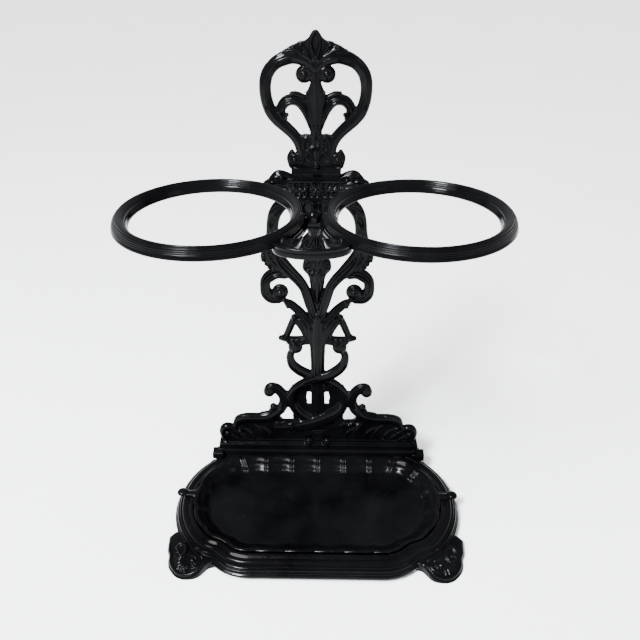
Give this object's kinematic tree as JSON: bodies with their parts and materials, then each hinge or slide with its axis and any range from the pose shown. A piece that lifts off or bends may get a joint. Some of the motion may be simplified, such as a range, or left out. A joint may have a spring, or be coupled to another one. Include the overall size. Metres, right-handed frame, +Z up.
{
  "type": "umbrella stand",
  "caption": "Ornate free-standing umbrella stand: side-by-side rings on a pierced scrollwork back panel with a carrying handle, over a footed base with a lift-out drip tray.",
  "frame": {"origin": "centre of the footprint, at floor level", "axes": "+Z up to the tip of the carrying handle, +X to the right along the row of rings, -Y towards the open front, the back panel at +Y"},
  "size_m": [0.4904, 0.264, 0.7],
  "materials": {
    "black_gloss_iron": "gloss black paint over a sand-cast surface",
    "zinc_plated_steel": "dull zinc plating"
  },
  "bodies": {
    "stand": {"base_casting": "black_gloss_iron", "foot_front_left": "black_gloss_iron", "foot_front_right": "black_gloss_iron", "foot_rear_left": "black_gloss_iron", "foot_rear_right": "black_gloss_iron", "foot_screws": "zinc_plated_steel", "back_panel": "black_gloss_iron", "panel_bolts": "black_gloss_iron", "panel_washers": "zinc_plated_steel", "panel_nuts": "zinc_plated_steel", "panel_end_screws": "zinc_plated_steel", "top_handle": "black_gloss_iron", "handle_screws": "zinc_plated_steel", "ring_left": "black_gloss_iron", "ring_right": "black_gloss_iron", "ring_bracket": "black_gloss_iron", "ring_screws": "zinc_plated_steel", "bracket_bolt": "zinc_plated_steel", "bracket_washers": "black_gloss_iron", "bracket_dome_nut": "black_gloss_iron"},
    "tray": {"drip_tray": "black_gloss_iron"}
  },
  "joints": [
    {"name": "tray_lift", "type": "slide", "parent": "stand", "child": "tray", "axis": [0, 0, 1], "range_m": [0, 0.08]}
  ]
}
